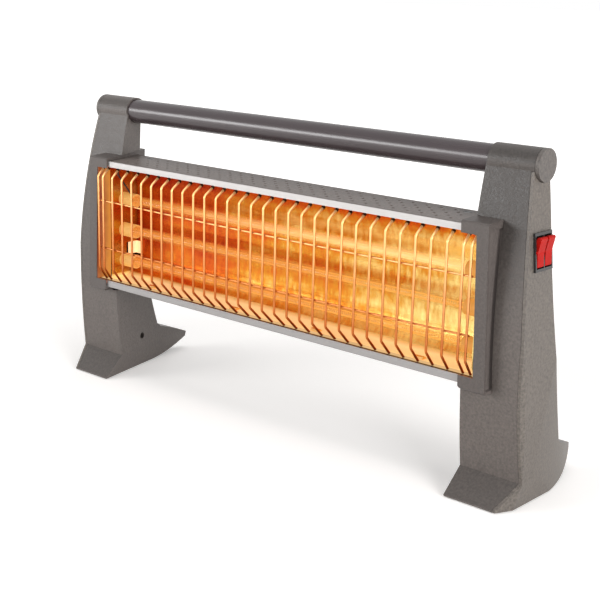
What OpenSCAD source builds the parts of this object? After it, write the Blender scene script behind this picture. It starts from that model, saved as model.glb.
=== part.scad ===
// Free-standing electric bar heater: three quartz tubes in front of a curved
// reflector, behind a wire grille, held between two moulded legs that are
// joined at the top by a round carrying handle.
// Sizes in millimetres. The floor is z = 0, the front faces -y, and the
// switch is on the +x side.

/* [Legs] */
// Distance from the middle of the heater to the front inner edge of a leg
leg_inner_x = 192.4; // [180:0.1:215]
// Distance from the middle to the widest point of a leg
leg_outer_x = 246.4; // [238:0.1:265]
// Height at which the outer face of a leg starts to lean inwards
leg_lean_z = 20; // [15:1:60]
// Radius of the inward lean of the outer face
leg_lean_r = 1780; // [1500:10:2600]
// Depth of the foremost point of a leg behind the grille plane
leg_front_y = 10.3; // [8:0.1:14]
// Height of the foremost point of a leg
leg_front_z = 105; // [90:1:120]
// Radius of the bow of a leg's front face
leg_front_r = 595; // [560:5:900]
// Depth of the back of the upper leg
leg_back_y = 46.8; // [44:0.1:50]
// Height at which the back of a leg starts to sweep out to the heel
leg_back_z = 195; // [180:1:205]
// Radius of the sweep at the back of a leg
leg_back_r = 465; // [420:5:560]
// Angle by which the inner face of a leg turns outwards towards the back
leg_toe = 13.6; // [5:0.1:15]
// Wall of the leg mouldings
leg_wall = 2.5; // [1.8:0.1:3]
// Thickness of the outer cover of a leg
cover_t = 2.5; // [1.8:0.1:3]

/* [Feet] */
// Front edge of a foot, relative to the grille plane
foot_front_y = -3; // [-12:0.5:4]
// Back tip of a foot, relative to the grille plane
foot_back_y = 124; // [118:0.5:128]
// Height of the sloping front of a foot
flare_h = 20; // [14:0.5:30]
// Half-way distance to the outer front corner of a foot
foot_corner_x = 237; // [228:0.5:244]
// Radius of a foot's outer edge in plan
foot_side_r = 218; // [205:1:300]
// Height of the heel where it leaves the leg
heel_top_z = 33; // [26:0.5:40]
// Depth at which the heel leaves the leg
heel_top_y = 80; // [77:0.5:92]
// Height of the heel's back tip
heel_tip_z = 17; // [15:0.5:20]
// Depth at which the sole starts to rise to the heel's tip
heel_lift_y = 68; // [60:1:80]
// Rise of the sole at the heel's tip
heel_lift = 11; // [4:0.5:12]
// Clearance of a foot above the floor
sole_z = 0.8; // [0.5:0.1:2]
// Thickness of a foot's sole
sole_t = 4.5; // [3:0.1:6]
// Diameter of a rubber foot pad
pad_d = 12; // [9:0.5:13]
// Thickness of a rubber foot pad
pad_t = 2.8; // [2:0.1:4]

/* [Handle] */
// Height of the handle's axis
handle_z = 247.4; // [244:0.1:252]
// Depth of the handle's axis behind the grille plane
handle_y = 38.2; // [37:0.1:39.5]
// Diameter of the handle tube
handle_d = 21; // [18:0.1:22]
// Wall of the handle tube
handle_wall = 1.5; // [1:0.1:2.5]
// Diameter of the hub at the top of a leg
hub_d = 24; // [23.6:0.1:26]
// Clearance of the handle tube in its hub, on the diameter
hub_fit = 0.2; // [0.1:0.05:0.4]
// Distance from the middle to the inner end of a hub
hub_inner_x = 193.5; // [186:0.5:196]
// Distance from the middle to the outer face of a hub plug
hub_outer_x = 235.6; // [234:0.1:240]
// Thickness of the disc of a hub plug
plug_t = 3; // [2:0.1:3.4]
// Depth of the handle tube in each hub
handle_seat = 24; // [16:1:26]

/* [Housing] */
// Height of the underside of the housing
housing_z0 = 88; // [84:0.5:92]
// Height of the front top edge of the housing
housing_z1 = 205; // [200:0.5:208]
// Rise of the housing's top from front to back
housing_rise = 1.8; // [0:0.1:4]
// Depth of the housing's back wall
housing_back = 48.5; // [48:0.5:52]
// Sheet thickness of the housing
sheet_t = 0.8; // [0.6:0.1:1.2]
// Diameter of an air hole in the top
air_hole_d = 2.6; // [1.5:0.1:3.5]
// Spacing of the air holes along the top
air_pitch = 13; // [10:0.5:20]
// Rows of air holes
air_rows = 5; // [3:1:6]
// Distance between the rows of air holes
air_row_gap = 6.2; // [5:0.1:7]

/* [Trim strips] */
// Height of the face of the top trim strip
trim_h = 5; // [4:0.1:6]
// Height of the face of the bottom trim strip
trim_low_h = 5.9; // [5:0.1:7]
// Sheet thickness of a trim strip
trim_t = 0.8; // [0.6:0.1:1.2]
// Depth of a trim strip's face behind the grille plane
trim_y = 3; // [2.6:0.1:4]
// Depth of the flange that holds the wire ends
trim_flange = 9; // [8.5:0.1:10]

/* [End caps] */
// Distance from the middle to the inner edge of an end cap at its top
cap_inner_x = 191.6; // [185:0.1:192]
// Distance from the middle to the edge of the grille opening at its top
cap_open_x = 204.7; // [203:0.1:206]
// Distance from the middle to the outer face of an end cap at its top
cap_outer_x = 214.6; // [213.8:0.1:217]
// How much further out an end cap stands at its bottom
cap_lean = 4.6; // [3:0.1:6]
// Depth of the recess in the outer side of an end cap
cap_recess = 3; // [1:0.1:3.5]
// Height of the bottom of an end cap
cap_z0 = 84; // [78:0.5:85]
// Height of an end cap's top at the front
cap_z1 = 207.2; // [206:0.1:212]
// Rise of an end cap's top from front to back
cap_rise = 3.6; // [3:0.1:6]
// Thickness of an end cap's roof at its outer side
cap_roof_t = 4.6; // [3:0.1:6]
// Thickness of an end cap's front plate at its outer side
cap_plate_t = 2.1; // [1.6:0.1:3]
// Depth of an end cap's front face
cap_front_y = 1; // [0.6:0.1:1.4]
// Depth of an end cap's back face
cap_back_y = 54.5; // [50.8:0.1:57]
// Wall of an end cap
cap_wall = 2.2; // [1.6:0.1:2.4]

/* [Reflector] */
// Depth of the deepest line of the reflector
refl_back = 43; // [40:0.5:43.5]
// Depth of the reflector's front edges
refl_front = 10.6; // [10:0.1:11.4]
// Sheet thickness of the reflector
refl_t = 0.6; // [0.4:0.1:1]
// How square the reflector's section is, 2 for an ellipse
refl_square = 4; // [2.5:0.1:6]
// Distance from the middle to the inner face of an end plate
refl_end_x = 200; // [198:0.5:202]

/* [Heating tubes] */
// Outside diameter of a quartz tube
tube_d = 10; // [8:0.1:12]
// Wall of a quartz tube
tube_wall = 1; // [0.8:0.1:1.5]
// Depth of the tubes behind the grille plane
tube_y = 28; // [24:0.5:32]
// Height of the middle tube
tube_mid_z = 138.5; // [130:0.5:150]
// Distance between the tubes
tube_pitch = 28.5; // [20:0.5:34]
// Outside diameter of a heating coil
coil_d = 5; // [3:0.1:6.5]
// Diameter of a ceramic cap
ceramic_d = 12.6; // [12.4:0.1:16]
// Distance from the middle to the inner face of a ceramic cap
ceramic_x = 183; // [176:0.5:188]
// Depth of a quartz tube in its ceramic cap
ceramic_seat = 6; // [4:0.5:9]
// Diameter of a terminal stud
stud_d = 3; // [2.5:0.1:4]
// Free length of a terminal stud
stud_l = 5.5; // [5:0.5:6.5]

/* [Grille] */
// Number of evenly spaced upright wires
wire_count = 30; // [20:1:34]
// Spacing of the upright wires
wire_pitch = 13.5; // [8:0.1:13.8]
// Diameter of an upright wire
wire_d = 2.2; // [1.6:0.1:2.6]
// Distance from the outermost even wire to the extra wire beside it
wire_end_gap = 6.6; // [4:0.1:7]
// Forward bow of the grille at mid-width
wire_bow = 4.5; // [0:0.5:8]
// Diameter of a cross wire
cross_d = 1.6; // [1.2:0.1:2]
// Distance of the upper wire bend below the top trim
wire_bend_top = 8.5; // [6:0.5:14]
// Distance of the lower wire bend above the bottom trim
wire_bend_low = 12; // [8:0.5:16]
// Height of the upper cross wire
cross_z1 = 168.5; // [150:0.5:185]
// Height of the lower cross wire
cross_z0 = 125; // [110:0.5:145]

/* [Switch] */
// Height of the switch's centre
switch_z = 188; // [180:0.5:192]
// Depth of the switch's centre behind the grille plane
switch_y = 33.6; // [32:0.1:34]
// Height of the switch bezel
bezel_h = 27.6; // [27.4:0.1:29]
// Width of the switch bezel
bezel_w = 22.6; // [22:0.1:23]
// Thickness of the switch bezel
bezel_t = 1.8; // [1.2:0.1:2.4]
// Width of one rocker
rocker_w = 8.6; // [8:0.1:9]
// Height of one rocker
rocker_h = 22.6; // [20:0.1:23.4]
// Clearance round a rocker
rocker_gap = 0.4; // [0.3:0.05:0.6]
// Tilt of a rocker to either side of its middle position
rocker_tilt = 11; // [8:0.5:12]
// Depth of the switch body behind the bezel
switch_depth = 12; // [10:0.5:13]

/* [Mains inlet] */
// Height of the cord inlet at the back of the right leg
inlet_z = 62; // [50:1:75]
// Distance from the middle to the cord inlet
inlet_x = 228; // [224:0.5:230]
// Bore of the inlet bush
inlet_bore = 7.2; // [6:0.1:9]
// Outside diameter of the inlet bush in the wall
inlet_bush_d = 11; // [10.6:0.1:12]
// Diameter of the flange of the inlet bush
inlet_flange_d = 15; // [14:0.1:16]
// Diameter of an insulated lead
lead_d = 2.2; // [1.6:0.1:2.6]

/* [Hidden] */

// Colours of the finishes
grey = "#6f6769";
dark_grey = "#5a5356";
panel_grey = "#8a8583";
silver = "#dcdde2";
steel = "#b9b9bd";
wire_steel = "#c9b9a4";
ceramic_white = "#e9e2d6";
clear = "#f2c9a0";
glow = "#ff8a2a";
black = "#2b2b2e";
red = "#d8262a";
brass = "#c9a45a";
pale = "#e4e0d6";

// Small gap between pieces that touch, and play round a screw
seam = 0.3;
screw_play = 0.6;

// The origin is under the middle of the whole outline
y_min = -wire_bow - wire_d / 2;
y_mid = (y_min + foot_back_y) / 2;

// Planes well inside and well outside a leg, used as ends of cutting shapes
near_x = cap_inner_x - 40;
past_x = leg_outer_x + 20;
far = 2 * leg_outer_x;

// Legs and handle
hub_r = hub_d / 2;
bore_d = handle_d + hub_fit;
curve_steps = 26;
heel_steps = 8;
toe_edge = 1.2;
heel_web = 16;
plan_mid_y = 25;
boss_depth = 16;
plug_shank = 12;
switch_lean = asin((switch_z - leg_lean_z) / leg_lean_r);
tube_z = [tube_mid_z + tube_pitch, tube_mid_z, tube_mid_z - tube_pitch];

// Levels of the trim strips and what follows from them
trim_top_z = housing_z1 - 0.2 - trim_h;
trim_low_z = housing_z0 + 0.4 + trim_low_h;
housing_front = trim_y + trim_t + seam;
top_slope = atan(housing_rise / (housing_back - housing_front));
bend_r = 5;
bend_steps = 6;
slot_pitch = 20;
slot_size = [6, 4, 22];
slot_gap = 23;

// End caps: the recess reaches recess_back in depth, and its plate flares out below the roof
recess_back = 20;
flare_z = 150;
flare_d = 4.9;
cap_chamfer = 2.5;
body_end = cap_outer_x - cap_recess - cap_wall - 0.4;

// Reflector
refl_mid = (trim_top_z + trim_low_z) / 2;
refl_half = (trim_top_z - trim_low_z) / 2 + trim_t + seam;
bowl_steps = 28;
bracket_x = ceramic_x - 10;
bracket_y = 36.5;
bracket_w = 12;
air_mid_y = 24;
clip_x = [-150, -46, 46, 150];
clip_y = 15;
clip_w = 8;
run_y = (refl_back + refl_t + housing_back - sheet_t) / 2;
run_z = tube_mid_z - 24;
run_d = 2;

// Wires
wire_last = (wire_count - 1) / 2 * wire_pitch;
wire_even = [for (i = [0:wire_count - 1]) i * wire_pitch - wire_last];
wire_x = concat([-wire_last - wire_end_gap], wire_even, [wire_last + wire_end_gap]);
wire_seat_y = 8.2;
cross_end = wire_last + wire_end_gap + 1;
bow_r = (pow(wire_last + wire_end_gap, 2) + wire_bow * wire_bow) / (2 * wire_bow);

// Screws
screw_d = 3.2;
screw_head_d = 6;
cap_screw_d = 3;
cap_screw_head = 5.5;
cap_screw_at = [[26, cap_z0 + 16], [26, cap_z1 - 16]];
cover_screw_d = 3;
cover_screw_head = 5.5;
cover_boss_d = 7;
upper_z = (cap_z0 + cap_z1) / 2;
cover_screw_at = [
    [heel_lift_y - 19, sole_z + 30.2],
    [front_y(upper_z) + leg_wall + 5, upper_z]
];

// Caps, studs and nuts
ceramic_l = refl_end_x + 6 - ceramic_x;
nut_t = 2.4;
nut_x = ceramic_x + ceramic_l + seam;
lug_x = nut_x + nut_t + 1.2;
lug_y = stud_d / 2 + 1.4;
lead_hole_d = 11;
lead_hole_at = [38, tube_mid_z - 30];

// Switch: blades at blade_y, and the point where the leads meet them
rocker_off = rocker_w / 2 + rocker_gap + 0.5;
rocker_pivot = 1.2;
rocker_in = 7;
pin_d = 2.4;
pin_l = 0.7;
pin_play = 0.16;
blade_l = 5;
blade_low = 3;
blade_y = [-6.6, -2.2, 2.2, 6.6];
blade_mid_x = outer_x(switch_z) - switch_depth - blade_l / 2;
blade_low_z = switch_z - bezel_h / 2 + blade_low - (switch_depth + blade_l / 2) * sin(switch_lean);

// Parts inside the right leg
pad_x = 210;
tilt_size = [11, 16, 18];
tilt_y = 22;
tilt_z = 36;
tilt_pin_l = 6;
block_size = [13, 18, 13];
block_z = 37;
block_y = back_y(block_z + block_size[2]) - leg_wall - block_size[1] - 0.5;
block_way = [5.5, 3.5, 5.5];
inlet_out = 4;
inlet_depth = 12;
inlet_face = back_y(inlet_z) + inlet_out;
inlet_flange_t = 2;
clamp_size = [20, 8, 3.5];
clamp_y = inlet_face - 29;
clamp_hole = 6.8;
clamp_bore = 3.2;
clamp_shelf = 6;
clamp_post_d = 6.5;
clamp_z = inlet_z - inlet_bore / 2;
clamp_rise = inlet_bore - 1;

// Rubber pads under a foot
pad_at = [
    [leg_inner_x + 14.6, foot_front_y + 12],
    [foot_corner_x - 5, foot_front_y + 12],
    [leg_outer_x - 20.4, heel_lift_y + 10]
];

// ---- outlines of a leg, as depth y against height z ----
function arc_in(r, d) = r - sqrt(r * r - d * d);
function front_y(z) = leg_front_y + arc_in(leg_front_r, z - leg_front_z);
function back_y(z) = leg_back_y + (z > leg_back_z ? 0 : arc_in(leg_back_r, leg_back_z - z));
function outer_x(z) = leg_outer_x
    - (z > leg_lean_z ? arc_in(leg_lean_r, z - leg_lean_z) : 0.15 * (leg_lean_z - z));
function steps(a, b, n) = [for (i = [0:n]) a + (b - a) * i / n];
function heel_z(u) = heel_top_z + (heel_tip_z - heel_top_z) * (0.85 * u + 0.15 * u * u);
function heel_y(u) = heel_top_y + (foot_back_y - heel_top_y) * u;
// Depth of the foot's front slope at height z, and the slope's two points for an inset of t
function toe_y(z) = foot_front_y + (z - sole_z - toe_edge)
    * (front_y(flare_h) - foot_front_y) / (flare_h - sole_z - toe_edge);
function toe_line(t) = t > 0
    ? [
        [max(foot_front_y + t, toe_y(sole_z + t) + 1.5 * t), sole_z + t],
        [front_y(flare_h) + t, flare_h - 0.45 * t]
    ]
    : [[foot_front_y, sole_z], [foot_front_y, sole_z + toe_edge]];
function lift(y) = y > heel_lift_y
    ? heel_lift * pow((y - heel_lift_y) / (foot_back_y - heel_lift_y), 2)
    : 0;

module in_place() {
    translate([0, -y_mid, 0]) children();
}

// Built for the right side, mirrored for the left
module sided(side) {
    if (side > 0) children();
    else mirror([1, 0, 0]) children();
}

// Extrudes a depth-height outline along x
module along_x(x0, x1) {
    translate([x0, 0, 0]) rotate([90, 0, 90]) linear_extrude(x1 - x0) children();
}

// Extrudes a width-height outline along y
module along_y(y0, y1) {
    translate([0, y1, 0]) rotate([90, 0, 0]) linear_extrude(y1 - y0) children();
}

// Round rod along x with its middle line at a depth-height point
module rod_x(x0, x1, at, d, facets = 32) {
    along_x(x0, x1) translate(at) circle(d = d, $fn = facets);
}

// Straight round bar between two points
module bar(a, b, d) {
    v = b - a;
    l = norm(v);
    translate(a) rotate([0, acos(v[2] / l), atan2(v[1], v[0])]) cylinder(h = l, d = d, $fn = 24);
}

// Round lead through a list of points, with a bead at each bend
module lead(points, d, bead = 1.46) {
    for (i = [0:len(points) - 2]) bar(points[i], points[i + 1], d);
    if (len(points) > 2) for (i = [1:len(points) - 2])
        translate(points[i]) sphere(d = d * bead, $fn = 24);
}

// Side view of a leg and its foot, inset by t
module leg_side(t, z_top) {
    polygon(concat(
        toe_line(t),
        [for (z = steps(flare_h, z_top, curve_steps)) [front_y(z) + t, z]],
        [for (z = steps(z_top, heel_top_z + 4, curve_steps)) [back_y(z) - t, z]],
        [for (u = steps(0, 1, heel_steps)) [heel_y(u) - t, heel_z(u) - t]],
        [for (y = steps(foot_back_y - t, heel_lift_y, heel_steps)) [y, sole_z + t + lift(y)]]
    ));
}

// Plan of a leg's outer side: the splayed front corner and the curved edge
module leg_plan(t) {
    centre_x = leg_outer_x + 0.1 - foot_side_r;
    corner_y = front_y(flare_h);
    first = asin((corner_y - plan_mid_y) / foot_side_r);
    last = asin((foot_back_y + 1 - plan_mid_y) / foot_side_r);
    polygon(concat(
        [[near_x, foot_front_y - 1]],
        [[foot_corner_x - t, foot_front_y - 1], [foot_corner_x - t, foot_front_y]],
        [for (a = steps(first, last, curve_steps))
            [centre_x + (foot_side_r - t) * cos(a), plan_mid_y + foot_side_r * sin(a)]],
        [[near_x, foot_back_y + 1]]
    ));
}

// Everything inside the outer face of a leg, moved in by t
module leg_outer_limit(t) {
    top = handle_z + 4;
    intersection() {
        along_y(foot_front_y - 20, foot_back_y + 10) polygon(concat(
            [[near_x, -1], [outer_x(-1) - t, -1]],
            [for (z = steps(leg_lean_z, top, curve_steps)) [outer_x(z) - t, z]],
            [[near_x, top]]
        ));
        translate([0, 0, -2]) linear_extrude(handle_z + 8) leg_plan(t);
    }
}

// Everything outside the inner face of a leg, moved out by t
module leg_inner_limit(t) {
    c = cos(leg_toe);
    s = sin(leg_toe);
    x0 = (leg_inner_x + t) * c;
    top = handle_z + 4;
    rotate([0, 0, -leg_toe]) along_y(-far, far) polygon(concat(
        [[x0 - foot_front_y * s, sole_z - 2], [x0 - foot_front_y * s, sole_z]],
        [for (z = steps(flare_h, top, curve_steps)) [x0 - front_y(z) * s, z]],
        [[far, top], [far, sole_z - 2]]
    ));
}

module leg_block(t, z_top) {
    intersection() {
        along_x(near_x, past_x) leg_side(t, z_top);
        leg_outer_limit(t);
        leg_inner_limit(t);
    }
}

// An end cap leans: its planes across the heater stand further out towards the bottom
function cap_x(x, z) = x + cap_lean * (cap_z1 - z) / (cap_z1 - cap_z0);

// Everything between two leaning planes
module cap_band(x0, x1) {
    za = cap_z0 - 20;
    zb = cap_z1 + 20;
    along_y(-far, far) polygon([
        [cap_x(x0, za), za],
        [cap_x(x1, za), za],
        [cap_x(x1, zb), zb],
        [cap_x(x0, zb), zb]
    ]);
}

// Space taken by an end cap in the leg
module cap_notch(gap) {
    ahead = cap_front_y - 20;
    intersection() {
        cap_band(near_x, cap_outer_x + gap);
        along_x(near_x - 10, past_x) polygon([
            [ahead, cap_z0 - gap],
            [foot_back_y, cap_z0 - gap],
            [foot_back_y, cap_z1 + cap_rise + gap],
            [cap_back_y, cap_z1 + cap_rise + gap],
            [cap_front_y, cap_z1 + gap],
            [ahead, cap_z1 + gap]
        ]);
    }
}

// Room inside a leg, open towards the cover
module leg_cavity() {
    intersection() {
        along_x(near_x, past_x) intersection() {
            leg_side(leg_wall, handle_z - hub_r - 1);
            translate([foot_front_y, sole_z + sole_t])
                square([foot_back_y - foot_front_y - heel_web, handle_z]);
        }
        leg_inner_limit(leg_wall);
    }
}

// Where the screw bosses of shell and cover meet
function joint_x(z) = outer_x(z) - boss_depth;

// Seats of the parts inside the right leg, joined to its inner face
module right_seats() {
    translate([near_x, tilt_y, tilt_z])
        cube([pad_x - near_x, tilt_size[1], tilt_size[2]]);
    translate([near_x, block_y, block_z])
        cube([pad_x - near_x, block_size[1], block_size[2]]);
    translate([near_x, clamp_y, clamp_z - clamp_shelf - 2])
        cube([inlet_x + clamp_size[0] / 2 - near_x, clamp_size[1], clamp_shelf]);
}

// Middle lines of the two clamp screws
module at_clamp_screws(z) {
    for (i = [-1, 1])
        translate([inlet_x + i * clamp_hole, clamp_y + clamp_size[1] / 2, z]) children();
}

module leg_shell(side) {
    hub_l = hub_outer_x - plug_t - seam - hub_inner_x;
    color(grey) in_place() sided(side) difference() {
        union() {
            difference() {
                intersection() {
                    leg_block(0, handle_z);
                    leg_outer_limit(cover_t + seam);
                }
                difference() {
                    leg_cavity();
                    cap_notch(seam + leg_wall);
                }
            }
            rod_x(hub_inner_x, hub_inner_x + hub_l, [handle_y, handle_z], hub_d, 64);
            intersection() {
                leg_block(0.5, handle_z);
                union() {
                    for (p = cover_screw_at) rod_x(near_x, joint_x(p[1]), p, cover_boss_d + 2);
                    if (side > 0) right_seats();
                }
            }
            if (side > 0) {
                at_clamp_screws(clamp_z - 3) cylinder(h = 3 + clamp_rise, d = clamp_post_d, $fn = 32);
                intersection() {
                    along_y(inlet_face - inlet_depth, inlet_face) translate([inlet_x, inlet_z])
                        circle(d = inlet_flange_d + 3, $fn = 48);
                    leg_outer_limit(cover_t + seam);
                }
            }
        }
        cap_notch(seam);
        rod_x(hub_inner_x - 1, past_x, [handle_y, handle_z], bore_d, 64);
        for (p = cover_screw_at) {
            rod_x(near_x, joint_x(p[1]) - 4, p, cover_screw_head + screw_play);
            rod_x(near_x, joint_x(p[1]) + 1, p, cover_screw_d + screw_play);
        }
        for (p = pad_at) translate([p[0], p[1], sole_z - 1])
            cylinder(h = 1 + pad_t - sole_z + seam, d = pad_d + screw_play, $fn = 32);
        for (p = cap_screw_at)
            rod_x(cap_x(cap_outer_x, p[1]) - 1, cap_x(cap_outer_x, p[1]) + 12, p, cap_screw_d + 0.2);
        if (side > 0) {
            rod_x(cap_outer_x, cap_outer_x + 15, lead_hole_at, lead_hole_d);
            along_y(inlet_face - 20, inlet_face + 1) translate([inlet_x, inlet_z])
                circle(d = inlet_bush_d + 0.4, $fn = 48);
            at_clamp_screws(clamp_z - 7) cylinder(h = 20, d = clamp_bore, $fn = 24);
        }
    }
}

module leg_cover(side) {
    slack = [2 * seam, 2 * seam];
    color(panel_grey) in_place() sided(side) difference() {
        union() {
            difference() {
                leg_block(0, handle_z);
                leg_outer_limit(cover_t);
            }
            intersection() {
                leg_outer_limit(0.5);
                for (p = cover_screw_at) rod_x(joint_x(p[1]) + seam, past_x, p, cover_boss_d);
            }
        }
        rod_x(hub_inner_x, past_x, [handle_y, handle_z], hub_d + 2 * seam, 64);
        for (p = cover_screw_at) rod_x(near_x, joint_x(p[1]) + 12, p, cover_screw_d + 0.2);
        if (side > 0) at_switch() {
            box_about(-switch_depth - 2, 6, [bezel_w - 2, bezel_h - 2]);
            box_about(0, 8, [bezel_w, bezel_h] + slack);
        }
    }
}

// Box from x0 to x1 in the switch frame, with its middle on the axis
module box_about(x0, x1, size) {
    translate([x0, -size[0] / 2, -size[1] / 2]) cube([x1 - x0, size[0], size[1]]);
}

module hub_plug(side) {
    shank_x = hub_outer_x - plug_t - plug_shank;
    at = [handle_y, handle_z];
    color(dark_grey) in_place() sided(side) difference() {
        union() {
            rod_x(hub_outer_x - plug_t, hub_outer_x, at, hub_d, 64);
            rod_x(shank_x, hub_outer_x - plug_t, at, handle_d, 64);
        }
        rod_x(shank_x - 1, hub_outer_x - plug_t, at, handle_d - 4, 64);
    }
}

module handle_tube() {
    half = hub_inner_x + handle_seat;
    color(grey) in_place() difference() {
        rod_x(-half, half, [handle_y, handle_z], handle_d, 96);
        rod_x(-half - 1, half + 1, [handle_y, handle_z], handle_d - 2 * handle_wall, 96);
    }
}

// ---- end caps, which carry the body between the legs ----
// Depth of the back of the front plate, which flares below the roof
function plate_back(z) = cap_front_y + cap_plate_t
    + (z > flare_z ? flare_d * pow((z - flare_z) / (cap_z1 - cap_roof_t - flare_z), 2) : 0);

// Recess in the outer side of an end cap, behind its front plate
module side_recess(x0) {
    roof = cap_z1 - cap_roof_t;
    intersection() {
        cap_band(x0, cap_outer_x + 20);
        along_x(near_x, past_x) polygon(concat(
            [[recess_back, cap_z0 + cap_plate_t], [plate_back(cap_z0), cap_z0 + cap_plate_t]],
            [for (z = steps(flare_z, roof, 10)) [plate_back(z), z]],
            [[recess_back, roof + 0.5]]
        ));
    }
}

// Room for the end of the body, shallower in front where the recess is
module body_room() {
    intersection() {
        cap_band(near_x, cap_outer_x - cap_wall);
        along_x(near_x - 10, past_x) difference() {
            union() {
                polygon(housing_line(-seam));
                translate([trim_y - seam, housing_z0]) square([5, housing_z1 + 0.1 - housing_z0]);
            }
            translate([0, cap_z0]) square([recess_back + cap_wall, cap_z1 - cap_z0 + 20]);
        }
    }
    intersection() {
        cap_band(near_x, cap_outer_x - cap_recess - cap_wall);
        along_x(near_x - 10, past_x) union() {
            polygon(housing_line(-seam));
            translate([trim_y - seam, housing_z0]) square([5, housing_z1 + 0.1 - housing_z0]);
        }
    }
}

module end_cap(side) {
    opening_h = trim_top_z - trim_low_z - 1.4;
    tab_x = cap_x(cap_inner_x, cap_z0);
    color(grey) in_place() sided(side) difference() {
        intersection() {
            cap_band(cap_inner_x, cap_outer_x);
            along_x(near_x, past_x) polygon([
                [cap_front_y, cap_z0 + 1.5],
                [cap_front_y + 1.5, cap_z0],
                [cap_back_y, cap_z0],
                [cap_back_y, cap_z1 + cap_rise],
                [cap_front_y + 1.5, cap_z1 + 0.4],
                [cap_front_y, cap_z1 - 0.6]
            ]);
            leg_inner_limit(0);
        }
        body_room();
        intersection() {
            cap_band(near_x, cap_open_x);
            along_x(near_x - 10, past_x) translate([cap_front_y - 5, trim_low_z + 0.4])
                square([12, opening_h]);
        }
        side_recess(cap_outer_x - cap_recess);
        along_y(-far, far) polygon([
            [tab_x - 10, cap_z0 - 1],
            [tab_x + cap_chamfer + 1, cap_z0 - 1],
            [tab_x - 1, cap_z0 + cap_chamfer + 1],
            [tab_x - 10, cap_z0 + cap_chamfer + 1]
        ]);
        for (p = cap_screw_at)
            rod_x(cap_outer_x - 6, cap_outer_x + 10, p, cap_screw_d + 0.4);
        if (side > 0) rod_x(cap_outer_x - 3, cap_outer_x + 10, lead_hole_at, lead_hole_d);
    }
}

// ---- housing ----
// Round corner of the housing's section
function bend(cy, cz, r, a0, a1) = [for (a = steps(a0, a1, bend_steps)) [cy + r * cos(a), cz + r * sin(a)]];
function top_line(y) = housing_z1 + (y - housing_front) * tan(top_slope);

// Section of the housing, moved in by t from its outer face
function housing_line(t) = let (
    cy = housing_back - bend_r,
    upper_z = top_line(cy) - bend_r / cos(top_slope)
) concat(
    [[housing_front, housing_z0 + t]],
    bend(cy, housing_z0 + bend_r, bend_r - t, -90, 0),
    bend(cy, upper_z, bend_r - t, 0, 90 + top_slope),
    [[housing_front, housing_z1 - t / cos(top_slope)]]
);

// Rows of air holes in the top, every other row shifted by half a space
module air_holes() {
    rows = steps(-0.5, 0.5, air_rows - 1);
    count = floor(2 * (cap_inner_x - 4) / air_pitch);
    for (j = [0:air_rows - 1]) {
        n = count - j % 2;
        y = air_mid_y + rows[j] * air_row_gap * (air_rows - 1);
        for (i = [0:n - 1]) translate([(i - (n - 1) / 2) * air_pitch, y, housing_z1 - 3])
            cylinder(h = 12, d = air_hole_d, $fn = 16);
    }
}

// Slots in the back, below and above the middle tube
module back_slots() {
    for (i = [-8:8]) for (z = [-slot_gap - slot_size[2], slot_gap])
        translate([i * slot_pitch - slot_size[0] / 2, housing_back - 2, tube_mid_z + z]) cube(slot_size);
}

// Middle lines of the two screws in the top, square to it
module at_top_screws(drop) {
    for (i = [-1, 1]) translate([i * bracket_x, bracket_y, top_line(bracket_y) - drop])
        rotate([top_slope, 0, 0]) children();
}

module housing_shell() {
    color(panel_grey) in_place() difference() {
        along_x(-body_end, body_end) difference() {
            polygon(housing_line(0));
            polygon(concat(
                [[housing_front - 1, housing_z0 + sheet_t]],
                housing_line(sheet_t),
                [[housing_front - 1, housing_z1 - sheet_t]]
            ));
        }
        air_holes();
        back_slots();
        at_top_screws(4) cylinder(h = 12, d = screw_d + screw_play, $fn = 24);
        at_top_screws(0.9) cylinder(h = 12, d = screw_head_d + screw_play, $fn = 32);
    }
}

// Trim strips with the flanges that hold the wire ends
module trim(z, flange_z, h) {
    color(silver) in_place() difference() {
        union() {
            translate([-body_end, trim_y, z]) cube([2 * body_end, trim_t, h]);
            translate([-body_end, trim_y, flange_z]) cube([2 * body_end, trim_flange, trim_t]);
        }
        for (x = wire_x) translate([x, wire_seat_y, flange_z - 1])
            cylinder(h = trim_t + 2, d = wire_d + 0.8, $fn = 16);
    }
}

module top_trim() {
    trim(trim_top_z, trim_top_z, trim_h);
}

module bottom_trim() {
    trim(trim_low_z - trim_low_h, trim_low_z - trim_t, trim_low_h);
}

// ---- reflector ----
// Squared half ellipse, open to the front, moved out by t
function bowl(t) = [for (a = steps(90, -90, bowl_steps)) [
    refl_front + (refl_back + t - refl_front) * pow(abs(cos(a)), 2 / refl_square),
    refl_mid + (refl_half + t) * sign(sin(a)) * pow(abs(sin(a)), 2 / refl_square)
]];

module reflector() {
    half = refl_end_x - seam;
    color(silver) in_place() along_x(-half, half) difference() {
        polygon(bowl(refl_t));
        polygon(concat(
            [[refl_front - 1, refl_mid + refl_half]],
            bowl(0),
            [[refl_front - 1, refl_mid - refl_half]]
        ));
    }
}

// End plate with its foot, the seats of the ceramic caps and a notch for the return lead
module reflector_end(side) {
    front = trim_y + trim_flange + seam;
    color(silver) in_place() sided(side) difference() {
        union() {
            along_x(refl_end_x, refl_end_x + sheet_t) intersection() {
                polygon(housing_line(sheet_t + seam));
                translate([front, housing_z0]) square([housing_back, trim_top_z - housing_z0 + 12]);
            }
            translate([refl_end_x, housing_back - 12, housing_z0 + sheet_t + seam])
                cube([8, 4, sheet_t]);
        }
        for (z = tube_z)
            rod_x(refl_end_x - 2, refl_end_x + 3, [tube_y, z], ceramic_d + 0.4, 48);
        along_x(refl_end_x - 2, refl_end_x + 3)
            translate([run_y - run_d / 2 - seam, run_z - run_d / 2 - seam])
            square([housing_back, run_d + 2 * seam]);
    }
}

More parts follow.
